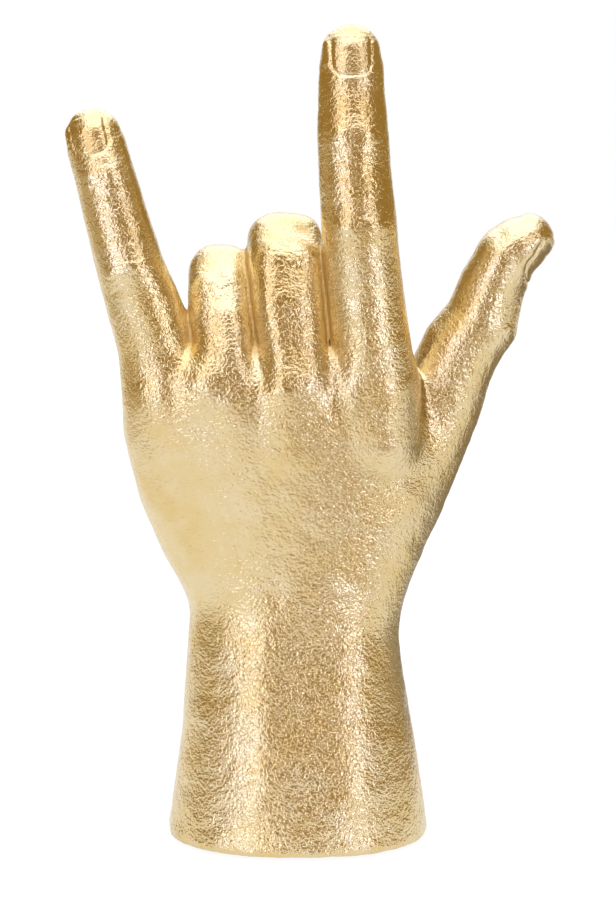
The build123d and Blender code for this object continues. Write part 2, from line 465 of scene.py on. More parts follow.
def trunk_rings() -> tuple[Ring, ...]:
    """The sections of forearm and palm, from below the foot to above the knuckles."""
    return (
        Ring(-4.0, -39.6, 39.6, -33.2, 32.4),
        Ring(3.0, -38.9, 38.9, -31.9, 31.5),
        Ring(11.0, -37.9, 37.9, -30.5, 30.2),
        Ring(22.0, -36.4, 36.4, -28.4, 28.3),
        Ring(33.0, -34.9, 34.4, -26.3, 26.4),
        Ring(44.0, -34.1, 32.4, -24.3, 24.6),
        Ring(55.0, -33.4, 30.8, -22.5, 22.8),
        Ring(64.0, -32.6, 29.8, -21.3, 21.6),
        Ring(71.0, -32.0, 30.0, -21.0, 20.6),
        Ring(78.0, -34.6, 31.0, -20.6, 19.4),
        Ring(86.0, -38.6, 32.0, -20.8, 17.6),
        Ring(95.0, -42.0, 33.0, -21.6, 15.4),
        Ring(105.0, -45.4, 34.0, -22.8, 12.6),
        Ring(116.0, -48.4, 34.6, -24.2, 9.8),
        Ring(127.0, -50.6, 34.6, -25.4, 7.4),
        Ring(138.0, -51.2, 34.0, -25.6, 5.4),
        Ring(150.0, -50.0, 32.0, -23.6, 4.0),
    )


def hand_digits() -> tuple[Digit, ...]:
    """The five digits, in millimetres."""
    index = Limb(
        (
            Station((23.4, -13.0, 122.0), 11.5, 10.5, 10.0),
            Station((22.4, -13.6, 138.0), 12.6, 11.6, 11.0),
            Station((20.9, -14.8, 151.0), 11.9, 11.0, 11.0),
            Station((19.6, -16.0, 165.0), 11.2, 10.3, 10.8),
            Station((18.5, -17.1, 175.5), 10.9, 10.0, 10.2),
            Station((17.7, -17.8, 185.0), 10.9, 10.2, 9.6),
            Station((16.7, -17.6, 197.0), 10.5, 9.1, 9.4),
            Station((15.9, -17.0, 210.5), 10.3, 8.6, 8.6),
            Station((15.5, -16.1, 220.5), 9.7, 7.9, 8.6),
            Station((15.4, -15.3, 229.5), 9.3, 7.5, 7.6),
            Station((15.3, -14.9, 234.2), 8.5, 7.1, 6.4),
            Station((15.2, -14.6, 238.0), 6.0, 5.6, 4.6),
        ),
        (1.0, 0.0, 0.0),
        3.3,
    )
    little = Limb(
        (
            Station((-35.2, -10.4, 122.0), 10.0, 9.0, 9.0),
            Station((-38.8, -11.6, 138.0), 10.6, 9.8, 9.8),
            Station((-41.5, -12.7, 150.5), 11.2, 9.2, 9.8),
            Station((-45.1, -13.8, 163.0), 10.8, 8.8, 9.4),
            Station((-48.3, -14.7, 172.5), 9.9, 8.9, 8.6),
            Station((-52.6, -14.2, 188.0), 9.2, 7.9, 8.2),
            Station((-55.5, -13.4, 199.0), 8.8, 7.5, 7.5),
            Station((-57.7, -12.4, 206.5), 8.7, 7.0, 7.4),
            Station((-58.8, -11.9, 210.5), 8.0, 6.8, 6.9),
            Station((-59.9, -11.4, 214.6), 5.8, 5.5, 4.6),
        ),
        (0.945, -0.13, 0.27),
        3.3,
    )
    middle = Limb(
        (
            Station((0.0, -13.6, 122.0), 10.0, 10.2, 9.0),
            Station((-1.2, -14.8, 138.0), 10.6, 11.4, 10.0),
            Station((-2.0, -14.4, 151.0), 10.4, 10.6, 10.0),
            Station((-3.0, -13.2, 163.0), 10.6, 9.9, 10.0),
            Station((-3.5, -10.4, 173.0), 11.0, 10.0, 9.5),
            Station((-3.7, -5.0, 177.6), 11.0, 10.0, 9.5),
            Station((-3.9, 3.6, 175.8), 9.9, 9.2, 9.0),
            Station((-4.1, 11.4, 171.0), 9.4, 8.8, 8.5),
            Station((-4.2, 14.8, 163.5), 9.0, 8.0, 8.0),
            Station((-4.3, 14.4, 153.5), 8.8, 7.2, 7.6),
        ),
        (0.985, 0.17, 0.0),
        9.0,
        squareness=2.8,
    )
    ring = Limb(
        (
            Station((-18.6, -11.0, 122.0), 9.0, 9.0, 8.5),
            Station((-20.4, -15.2, 137.0), 9.4, 9.6, 9.5),
            Station((-20.7, -14.8, 148.0), 8.9, 9.2, 9.5),
            Station((-21.7, -12.4, 157.0), 9.2, 9.2, 9.4),
            Station((-22.2, -8.6, 164.6), 9.5, 9.3, 9.0),
            Station((-22.4, -3.6, 168.9), 9.4, 9.4, 9.0),
            Station((-22.8, 3.0, 167.0), 8.8, 8.6, 8.4),
            Station((-22.8, 10.2, 162.4), 8.3, 8.0, 7.8),
            Station((-22.8, 13.4, 155.4), 8.0, 7.3, 7.4),
            Station((-22.8, 13.0, 146.8), 7.8, 6.6, 7.0),
        ),
        (0.97, -0.24, 0.0),
        8.0,
        squareness=2.6,
    )
    twist = math.radians(78.0)
    lean = math.radians(27.0)
    along = np.array((math.sin(lean), 0.0, math.cos(lean)))
    flat = np.array((math.cos(lean), 0.0, -math.sin(lean)))
    across = flat * math.cos(twist) + np.cross(along, flat) * math.sin(twist)
    thumb = Limb(
        (
            Station((16.0, 3.0, 74.0), 15.0, 12.5, 13.0),
            Station((22.8, 3.6, 90.0), 17.2, 14.4, 14.5),
            Station((30.0, 4.0, 104.0), 16.2, 14.4, 14.5),
            Station((37.4, 4.0, 118.0), 13.2, 12.6, 12.6),
            Station((42.4, 3.8, 129.5), 11.8, 12.0, 12.0),
            Station((45.6, 3.4, 140.5), 11.2, 12.0, 11.9),
            Station((48.6, 3.0, 147.3), 11.0, 11.6, 11.8),
            Station((53.8, 2.8, 155.4), 11.0, 11.5, 10.6),
            Station((57.3, 2.6, 165.5), 10.6, 10.0, 9.8),
            Station((61.2, 2.2, 174.7), 10.6, 9.4, 8.5),
            Station((64.9, 2.0, 177.6), 10.2, 8.6, 8.4),
            Station((69.4, 1.8, 180.6), 8.8, 7.0, 7.0),
        ),
        tuple(across),
        5.6,
    )
    return (
        Digit(
            Piece.THUMB, thumb, (42.9, 4.0, 127.95), (0.43, 0.0, 0.903),
            joints=(7,), nail=Nail(14.0, 13.0, 1.2), seam_stretch=3,
        ),
        Digit(
            Piece.INDEX, index, (21.12, -14.46, 148.92), (-0.08, -0.087, 0.993),
            joints=(5, 7), nail=Nail(10.9, 11.4, 2.6),
        ),
        Digit(
            Piece.MIDDLE, middle, (-2.08, -14.51, 148.96), (-0.08, 0.026, 0.996),
            joints=(4, 7), nail=Nail(12.4, 11.5, 2.0),
        ),
        Digit(
            Piece.RING, ring, (-21.55, -13.71, 148.94), (-0.104, 0.026, 0.994),
            joints=(4, 7), nail=Nail(11.2, 11.0, 2.0), seam_stretch=2,
        ),
        Digit(
            Piece.LITTLE, little, (-41.77, -12.46, 148.57), (-0.261, -0.087, 0.961),
            joints=(4, 6), nail=Nail(9.8, 11.0, 2.4),
        ),
    )


@dataclass(frozen=True)
class Relief:
    """What stands out of the smooth flesh: knuckles, tendons, wrinkles, creases, nails and the stipple.

    Measures are in millimetres, and a place on the hand is given by x and z.
    """

    digits: tuple[Digit, ...]
    joint_reach: float = 14.0
    swell_rise: float = 0.2
    swell_length: float = 4.6
    lump_sides: tuple[float, ...] = (-0.38, 0.42)
    lump_rise: float = 0.35
    lump_width: float = 0.27
    lump_length: float = 3.4
    fold_width: float = 0.5
    flexion_width: float = 0.55
    thumb_flexion: float = 0.12
    plate_rise: float = 0.12
    groove_depth: float = 0.26
    groove_width: float = 0.5
    ridge_rise: float = 0.24
    ridge_lean: float = 0.12
    ridge_offset: float = 1.6
    ridge_width: float = 1.2
    free_edge_rise: float = 0.2
    knuckle_width: float = 7.6
    knuckle_height: float = 7.0
    tendon_start: float = 70.0
    tendon_gather: float = 0.28
    tendon_rise: float = 0.14
    tendon_width: float = 4.5
    hollow_width: float = 3.6
    hollow_height: float = 7.5
    slant: float = 0.2
    bracelet_width: float = 0.75
    ball_depth: float = 0.8
    ball_width: float = 0.95
    crease_width: float = 0.9
    stipple_seed: int = 7
    stipple_margin: float = 4.0
    burnish: float = 0.8
    finger_polish: float = 0.45
    polish_share: float = 0.8

    def joint_frame(self, limb: Limb, number: int) -> Bone:
        """The frame at a joint, half way between the bones that meet there.

        Args:
            limb: the digit's limb.
            number: the joint's station.

        Returns:
            The joint's frame.
        """
        below, above = limb.bone(number - 1), limb.bone(min(number, len(limb.stations) - 2))
        along = unit(below.along + above.along)
        across = unit(below.across + above.across)
        return Bone(np.array(limb.stations[number].place), along, across, np.cross(across, along))

    def wrinkles(self, points: Array, digit: Digit, number: int) -> Array:
        """Skin folds over a joint's back and the flexion crease on its front.

        Args:
            points: skin points in millimetres.
            digit: whose joint it is.
            number: the joint's station.

        Returns:
            The height to add at each point.
        """
        station = digit.limb.stations[number]
        along, across, out = self.joint_frame(digit.limb, number).local(points)
        close = (np.abs(along) < self.joint_reach) & (np.abs(across) < 1.5 * station.width)
        close &= np.abs(out) < 1.6 * station.back
        height = np.zeros(len(points))
        along, across, out = along[close], across[close], out[close]
        side = 1.0 - smooth_step(0.62, 1.0, np.abs(across) / station.width)
        back = smooth_step(0.15, 0.7, out / station.back) * side
        total = self.swell_rise * bell(along, self.swell_length) * back
        for middle in self.lump_sides:
            lump = self.lump_rise * bell(across / station.width - middle, self.lump_width)
            total += lump * bell(along, self.lump_length) * back
        share = station.width / 10.0
        folds = (
            (-4.3, 0.06, -1.3),
            (-2.5, 0.1, -0.8),
            (-0.8, 0.14, 0.2),
            (0.9, 0.12, -0.3),
            (2.6, 0.1, 0.9),
        )
        for offset, depth, bow in folds:
            wobble = 0.5 * np.sin(0.9 * across + 5.0 * offset) + bow * (across / station.width) ** 2
            broken = 0.55 + 0.45 * np.sin(0.8 * across + 9.0 * offset)
            total -= depth * bell(along - share * offset - wobble, self.fold_width) * back * broken
        front = smooth_step(0.1, 0.6, -out / station.front)
        front *= 1.0 - smooth_step(0.85, 1.05, np.abs(across) / station.width)
        if digit.piece is Piece.THUMB:
            front *= self.thumb_flexion
        flexions = ((-0.9, 0.5), (0.9, 0.42))
        for offset, depth in flexions:
            total -= depth * bell(along - offset - 0.25 * np.sin(0.7 * across), self.flexion_width) * front
        height[close] = total
        return height

    def nail(self, points: Array, digit: Digit) -> tuple[Array, Array]:
        """The nail with the folds of skin round it.

        Args:
            points: skin points in millimetres.
            digit: whose nail it is.

        Returns:
            The height to add at each point, and how far each point belongs to the nail's plate.
        """
        limb = digit.limb
        last = limb.bone(len(limb.stations) - 2)
        tip = limb.stations[-1]
        bed = Bone(np.array(tip.place), last.along, last.across, last.back)
        along, across, out = bed.local(points)
        far = limb.tip - digit.nail.setback
        half_width, half_length = 0.5 * digit.nail.width, 0.5 * digit.nail.length
        middle = far - half_length
        corner = np.where(along < middle, 0.62 * half_width, 0.38 * half_width)
        over_x = np.abs(across) - half_width + corner
        over_z = np.abs(along - middle) - half_length + corner
        outside = np.hypot(np.maximum(over_x, 0.0), np.maximum(over_z, 0.0))
        edge = outside + np.minimum(np.maximum(over_x, over_z), 0.0) - corner
        back = smooth_step(0.1, 0.45, out / tip.back)
        rooted = 1.0 - smooth_step(far - 2.2, far - 0.4, along)
        plate = smooth_step(0.15, -0.45, edge) * back
        height = self.plate_rise * plate
        height -= self.groove_depth * bell(edge - 0.15, self.groove_width) * back * (0.6 + 0.4 * rooted)
        cuticle = smooth_step(middle, middle - half_length, along)
        ridge = self.ridge_rise - self.ridge_lean * np.tanh(0.6 * across)
        around = bell(edge - self.ridge_offset, self.ridge_width)
        height += ridge * (1.0 - 0.7 * cuticle) * around * back * rooted
        height += self.free_edge_rise * bell(edge + 0.5, self.groove_width) * back * (1.0 - rooted)
        return height, plate

    def back_of_hand(self, points: Array, normals: Array) -> Array:
        """Knuckles, the hollows between them, slanted flats, tendons and the forearm's two long swells.

        Args:
            points: skin points in millimetres.
            normals: directions out of the skin.

        Returns:
            The height to add at each point.
        """
        x, z = points[:, 0], points[:, 2]
        back = smooth_step(0.05, 0.55, -normals[:, 1])
        height = np.zeros(len(points))
        knuckles = ((22.4, 137.0, 0.3), (-0.8, 140.5, 0.6), (-20.2, 138.0, 0.0), (-43.0, 133.0, 1.0))
        for place, level, rise in knuckles:
            height += rise * bell(x - place, self.knuckle_width) * bell(z - level, self.knuckle_height)
            start = self.tendon_gather * place
            share = np.clip((z - self.tendon_start) / (level - self.tendon_start), 0.0, 1.0)
            centre = start + (place - start) * share
            fade = smooth_step(74.0, 96.0, z) * (1.0 - smooth_step(126.0, 140.0, z))
            height += self.tendon_rise * bell(x - centre, self.tendon_width) * fade
        hollows = ((10.8, 141.0, 1.2), (-10.6, 143.0, 1.2), (-36.0, 138.5, 0.6))
        for place, level, depth in hollows:
            height -= depth * bell(x - place, self.hollow_width) * bell(z - level, self.hollow_height)
        slants = ((-23.0, 140.0, 7.0, 6.0), (18.5, 137.0, 5.5, 9.0))
        for place, level, wide, tall in slants:
            height -= self.slant * (x - place) * bell(x - place, wide) * bell(z - level, tall)
        arm = smooth_step(4.0, 22.0, z) * (1.0 - smooth_step(58.0, 74.0, z))
        swells = ((-11.0, 8.0, 0.7), (18.0, 7.0, 0.7), (3.5, 6.0, -0.5))
        height += arm * sum(rise * bell(x - place, wide) for place, wide, rise in swells)
        return height * back

    def palm(self, points: Array, normals: Array) -> Array:
        """The main creases of the palm and the bracelet lines of the wrist.

        Args:
            points: skin points in millimetres.
            normals: directions out of the skin.

        Returns:
            The height to add at each point.
        """
        x, z = points[:, 0], points[:, 2]
        front = smooth_step(0.1, 0.5, normals[:, 1])
        height = np.zeros(len(points))
        bracelets = ((66.5, 0.55), (71.5, 0.45))
        for level, depth in bracelets:
            bowed = z - level - 0.0022 * x**2 - 0.5 * np.sin(0.21 * x)
            height -= depth * bell(bowed, self.bracelet_width)
        (ball_x, ball_z), (wide, tall), radius = (33.0, 95.0), (30.0, 37.0), 33.0
        ball = np.hypot((x - ball_x) / wide, (z - ball_z) / tall) * radius - radius
        reach = smooth_step(72.0, 82.0, z) * (1.0 - smooth_step(22.0, 32.0, x))
        height -= self.ball_depth * bell(ball, self.ball_width) * reach
        creases = (
            ((33.0, 124.0), (-38.0, 104.0), 5.0, 0.7),
            ((12.0, 133.0), (-49.0, 117.0), -4.0, 0.6),
        )
        for start, end, sag, depth in creases:
            share = np.clip((x - start[0]) / (end[0] - start[0]), 0.0, 1.0)
            line = start[1] + (end[1] - start[1]) * share + sag * np.sin(math.pi * share)
            inside = smooth_step(0.0, 0.08, share) * (1.0 - smooth_step(0.9, 1.0, share))
            height -= depth * bell(z - line, self.crease_width) * inside
        return height * front

    def stipple(self, points: Array) -> Array:
        """The uneven hammered skin under the leaf."""
        total = np.zeros(len(points))
        random = np.random.default_rng(self.stipple_seed)
        low = tuple(points.min(axis=0) - self.stipple_margin)
        high = tuple(points.max(axis=0) + self.stipple_margin)
        layers = ((5.4, 0.11), (2.6, 0.055), (1.1, 0.045))
        for spacing, depth in layers:
            grain = Voxels(low, high, spacing)
            grain.values = random.standard_normal(grain.shape)
            total += depth * grain.sample(points)
        return total

    def heights(self, points: Array, normals: Array) -> tuple[Array, Array]:
        """All relief together.

        Args:
            points: skin points in millimetres.
            normals: directions out of the skin.

        Returns:
            The height to add at each point, and how smoothly the leaf lies there, 1 on a nail.
        """
        total = self.back_of_hand(points, normals) + self.palm(points, normals)
        x, z = points[:, 0], points[:, 2]
        (middle_x, middle_z), (wide, tall) = (-28.0, 104.0), (26.0, 30.0)
        polish = self.burnish * bell(x - middle_x, wide) * bell(z - middle_z, tall)
        polish = np.maximum(polish, self.finger_polish * smooth_step(142.0, 158.0, z))
        for digit in self.digits:
            for number in digit.joints:
                total += self.wrinkles(points, digit, number)
            rise, plate = self.nail(points, digit)
            total += rise
            polish = np.maximum(polish, plate)
        return total + self.stipple(points) * (1.0 - self.polish_share * polish), polish


@dataclass
class CastHand:
    """The cast hand: its flesh, its relief and the cut into the luted pieces, in millimetres."""

    step: float = 0.7
    block_low: Triple = (-72.0, -36.0, -3.0)
    block_high: Triple = (84.0, 36.0, 246.0)
    margin: float = 9.0
    heel_fillet: float = 10.0
    thumb_fillet: float = 9.0
    finger_fillet: float = 2.2
    hand_fillet: float = 5.0
    easing: float = 0.8
    groove_heights: tuple[float, float] = (136.0, 145.0)
    groove_gaps: tuple[float, float] = (0.5, 2.4)
    seam_band: float = 3.0
    seam_reach: float = 1.6
    least_seam: float = 12.0
    seam_snap: float = 0.02

    def __post_init__(self) -> None:
        """Sets up the bodies and the lattice that their flesh is formed on."""
        self.trunk = Trunk(trunk_rings(), foot=1.0, crown=147.0)
        self.digits = hand_digits()
        self.relief = Relief(self.digits)
        self.heel = Limb(
            (
                Station((-19.0, 6.0, 76.0), 9.0, 9.0, 11.0),
                Station((-26.0, 5.0, 92.0), 13.0, 12.0, 13.5),
                Station((-33.0, 2.0, 108.0), 13.0, 12.0, 13.0),
                Station((-38.0, -3.0, 124.0), 10.0, 10.0, 10.0),
            ),
            (1.0, 0.0, 0.0),
            9.0,
        )
        self.voxels = Voxels(self.block_low, self.block_high, self.step)

    def form(self) -> None:
        """Flows trunk, heel and digits together."""
        no_fillet = 0.001
        self.voxels.add(self.trunk, no_fillet)
        self.voxels.add(self.heel, self.heel_fillet, self.heel.box(self.margin))
        fingers = Voxels(self.block_low, self.block_high, self.step)
        for digit in self.digits:
            if digit.piece is Piece.THUMB:
                self.voxels.add(digit.limb, self.thumb_fillet, digit.limb.box(self.margin + 4.0))
            else:
                fingers.add(digit.limb, self.finger_fillet, digit.limb.box(self.margin))
        self.voxels.values = soft_union(self.voxels.values, fingers.values, self.hand_fillet)
        self.voxels.ease(self.easing)

    def crevices(self, points: Array) -> Array:
        """How far each point lies in the narrow groove between two neighbouring fingers.

        Args:
            points: skin points in millimetres.

        Returns:
            0 on the open skin, up to 1 at the bottom of a groove.
        """
        depth = smooth_step(*self.groove_heights, points[:, 2])
        high = depth > 0.0
        x, y, z = points[high].T
        fingers = [digit.limb for digit in self.digits if digit.piece is not Piece.THUMB]
        second = np.sort([limb.distance(x, y, z) for limb in fingers], axis=0)[1]
        depth[high] *= 1.0 - smooth_step(*self.groove_gaps, second)
        return depth

    def owners(self, points: Array) -> Array:
        """Which piece each point of the skin belongs to.

        Args:
            points: skin points in millimetres.

        Returns:
            The piece's number, 0 for the hand and 1 on for the digits in order.
        """
        x, y, z = points.T
        nearest = np.minimum(self.trunk.distance(x, y, z), self.heel.distance(x, y, z))
        owner = np.zeros(len(points), int)
        for number, digit in enumerate(self.digits, start=1):
            stretch, distance = digit.limb.nearest(x, y, z)
            ahead = (points - np.array(digit.seam)) @ np.array(digit.seam_along) > 0.0
            closer = distance < nearest
            own = (stretch > digit.seam_stretch) | ((stretch >= digit.seam_stretch - 1) & ahead)
            owner[closer] = np.where(own[closer], number, 0)
            nearest = np.minimum(nearest, distance)
        return owner

    def whole_skin(self) -> bmesh.types.BMesh:
        """The smooth skin, cut along the seams and divided more finely on the digits."""
        points, faces = self.voxels.skin()
        points = self.voxels.settle(points)
        mesh = bpy.data.meshes.new("skin")
        mesh.from_pydata(points.tolist(), [], faces.tolist())
        skin = bmesh.new()
        skin.from_mesh(mesh)
        bpy.data.meshes.remove(mesh)
        owner = self.owners(points)
        skin.verts.ensure_lookup_table()
        fine = [edge for edge in skin.edges if owner[edge.verts[0].index] and owner[edge.verts[1].index]]
        bmesh.ops.subdivide_edges(skin, edges=fine, cuts=1, use_grid_fill=True)
        for digit in self.digits:
            place, along = Vector(digit.seam), Vector(digit.seam_along)
            reach = self.seam_reach * max(digit.limb.stations[digit.seam_stretch].width, self.least_seam)
            near = []
            for face in skin.faces:
                offset = face.verts[0].co - place
                if abs(offset.dot(along)) < self.seam_band and offset.length < reach:
                    near.append(face)
            geometry = list({part for face in near for part in (*face.verts, *face.edges)}) + near
            bmesh.ops.bisect_plane(
                skin, geom=geometry, plane_co=place, plane_no=along, dist=self.seam_snap
            )
        return skin

    def build(self, gold: bpy.types.Material) -> list[bpy.types.Object]:
        """Forms the hand and cuts it into its pieces.

        Args:
            gold: the finish of all cast pieces.

        Returns:
            The pieces, the hand first.
        """
        self.form()
        skin = self.whole_skin()
        mesh = bpy.data.meshes.new("skin")
        skin.to_mesh(mesh)
        skin.free()
        count = len(mesh.vertices)
        flat = np.empty(3 * count)
        mesh.vertices.foreach_get("co", flat)
        points = self.voxels.settle(flat.reshape(-1, 3))
        slope = self.voxels.slope(points)
        normals = slope / np.maximum(np.linalg.norm(slope, axis=1), 1e-6)[:, None]
        heights, polish = self.relief.heights(points, normals)
        # recess marks the grooves between the fingers, where the gold gets painted shade
        traits = {"polish": polish, "recess": self.crevices(points)}
        moved = points + normals * heights[:, None]
        moved[:, 2] = np.maximum(moved[:, 2], self.trunk.foot)
        mesh.vertices.foreach_set("co", (moved * MM).ravel())
        mesh.update()
        shading = np.empty(3 * count)
        mesh.vertex_normals.foreach_get("vector", shading)
        shading = shading.reshape(-1, 3)
        starts = np.empty(len(mesh.polygons), np.int32)
        mesh.polygons.foreach_get("loop_start", starts)
        corners = np.empty(len(mesh.loops), np.int32)
        mesh.loops.foreach_get("vertex_index", corners)
        totals = np.diff(np.append(starts, len(corners)))
        owner = self.owners(np.add.reduceat(points[corners], starts, axis=0) / totals[:, None])
        polygons = [tuple(face.vertices) for face in mesh.polygons]
        bpy.data.meshes.remove(mesh)
        by_edge = {}
        for number, face in enumerate(polygons):
            for one, other in zip(face, face[1:] + face[:1]):
                by_edge[one, other] = number
        self.join_islands(by_edge, owner)
        rims = self.seam_rims(by_edge, owner, points)
        pieces = [Piece.HAND, *[digit.piece for digit in self.digits]]
        made = []
        for number, piece in enumerate(pieces):
            faces = [polygons[i] for i in np.flatnonzero(owner == number)]
            made.append(self.cut_piece(piece, faces, rims[number], moved * MM, shading, traits, gold))
        return made

    def join_islands(self, by_edge: dict[tuple[int, int], int], owner: Array) -> None:
        """Gives every patch that is cut off from the rest of its piece to the piece round it.

        Args:
            by_edge: the face that runs along each directed edge of the skin.
            owner: the number of each face's piece, changed in place.
        """
        beside: list[list[int]] = [[] for _ in owner]
        for (one, other), face in by_edge.items():
            if (other, one) in by_edge:
                beside[face].append(by_edge[other, one])
        patch = np.full(len(owner), -1)
        patches: list[list[int]] = []
        for start in range(len(owner)):
            if patch[start] >= 0:
                continue
            patch[start] = len(patches)
            found = [start]
            for face in found:
                for neighbour in beside[face]:
                    if patch[neighbour] < 0 and owner[neighbour] == owner[face]:
                        patch[neighbour] = len(patches)
                        found.append(neighbour)
            patches.append(found)
        largest: dict[int, list[int]] = {}
        for found in sorted(patches, key=len):
            largest[int(owner[found[0]])] = found
        for found in sorted(patches, key=len):
            if found is not largest[int(owner[found[0]])]:
                around = [int(owner[n]) for face in found for n in beside[face] if patch[n] != patch[face]]
                owner[found] = max(set(around), key=around.count)

    def seam_rims(
        self, by_edge: dict[tuple[int, int], int], owner: Array, points: Array
    ) -> dict[int, list[list[int]]]:
        """The closed rims that each piece shares with its neighbours.

        Args:
            by_edge: the face that runs along each directed edge of the skin.
            owner: the number of each face's piece.
            points: the skin's points.

        Returns:
            For each piece its rims, as points in the order in which its own faces run along them.
        """
        borders: dict[tuple[int, int], dict[int, int]] = {}
        for (one, other), face in by_edge.items():
            pair = (int(owner[face]), int(owner[by_edge[other, one]]))
            if pair[0] < pair[1]:
                borders.setdefault(pair, {})[one] = other
        rims: dict[int, list[list[int]]] = {number: [] for number in range(len(self.digits) + 1)}
        for pair, ahead in borders.items():
            chains = []
            starts = [point for point in ahead if point not in set(ahead.values())]
            while ahead:
                point = starts.pop() if starts else next(iter(ahead))
                chain = [point]
                while chain[-1] in ahead:
                    chain.append(ahead.pop(chain[-1]))
                chains.append(chain)
            open_chains = [chain for chain in chains if chain[0] != chain[-1]]
            closed = [chain[:-1] for chain in chains if chain[0] == chain[-1]]
            if open_chains:
                rim = open_chains.pop()
                while open_chains:
                    reach = [np.linalg.norm(points[chain[0]] - points[rim[-1]]) for chain in open_chains]
                    rim += open_chains.pop(int(np.argmin(reach)))
                closed.append(rim)
            rims[pair[0]] += closed
            rims[pair[1]] += [rim[::-1] for rim in closed]
        return rims

    def cut_piece(
        self,
        piece: Piece,
        faces: list[tuple[int, ...]],
        rims: list[list[int]],
        points: Array,
        shading: Array,
        traits: dict[str, Array],
        gold: bpy.types.Material,
    ) -> bpy.types.Object:
        """One piece of the skin, closed where it is cut, with the whole skin's shading kept.

        Args:
            piece: which piece it is.
            faces: its faces, by the whole skin's points.
            rims: the rims where it is cut from its neighbours.
            points: the whole skin's points in metres.
            shading: the whole skin's normals.
            traits: what the finish is told of the whole skin, by name.
            gold: its finish.

        Returns:
            The piece, riding on the part and standing for its solid.
        """
        used = np.unique(np.concatenate([np.array(face) for face in faces]))
        middles = np.array([points[rim].mean(axis=0) for rim in rims])
        renumber = np.full(len(points), -1)
        renumber[used] = np.arange(len(used))
        cut = [tuple(int(renumber[i]) for i in face) for face in faces]
        for middle, rim in enumerate(rims, start=len(used)):
            shared = [int(renumber[i]) for i in rim]
            cut += [(other, one, middle) for one, other in zip(shared, shared[1:] + shared[:1])]
        mesh = bpy.data.meshes.new(piece.value + "_gilded")
        mesh.from_pydata(np.concatenate([points[used], middles]).tolist(), [], cut)
        mesh.polygons.foreach_set("use_smooth", np.ones(len(mesh.polygons), bool))
        for name, values in traits.items():
            layer = mesh.attributes.new(name, "FLOAT", "POINT")
            layer.data.foreach_set("value", np.append(values[used], np.zeros(len(rims))).astype(np.float32))
        mesh.normals_split_custom_set_from_vertices(shading[used].tolist() + [(0.0, 0.0, 1.0)] * len(rims))
        mesh.materials.append(gold)
        thing = put(piece.value + "_gilded", mesh)
        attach(thing, "root")
        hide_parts(piece.value)
        return thing


class Nodes:
    """A small helper that adds and joins a material's nodes."""

    def __init__(self, name: str) -> None:
        """Starts a material with only its shader.

        Args:
            name: the material's name.
        """
        self.material = bpy.data.materials.new(name)
        self.material.use_nodes = True
        self.tree = self.material.node_tree
        self.shader = self.tree.nodes["Principled BSDF"]

    def add(self, kind: str, **settings: object) -> bpy.types.Node:
        """A node of that kind, with settings of the node itself or of its sockets.

        Args:
            kind: the node's type.
            settings: values by name, sockets written with spaces as underscores.

        Returns:
            The new node.
        """
        node = self.tree.nodes.new(kind)
        for name, value in settings.items():
            socket = name.replace("_", " ")
            if hasattr(node, name):
                setattr(node, name, value)
            else:
                node.inputs[socket].default_value = value
        return node

    def join(self, source: bpy.types.NodeSocket, target: bpy.types.NodeSocket) -> None:
        """A link from one socket to another."""
        self.tree.links.new(source, target)


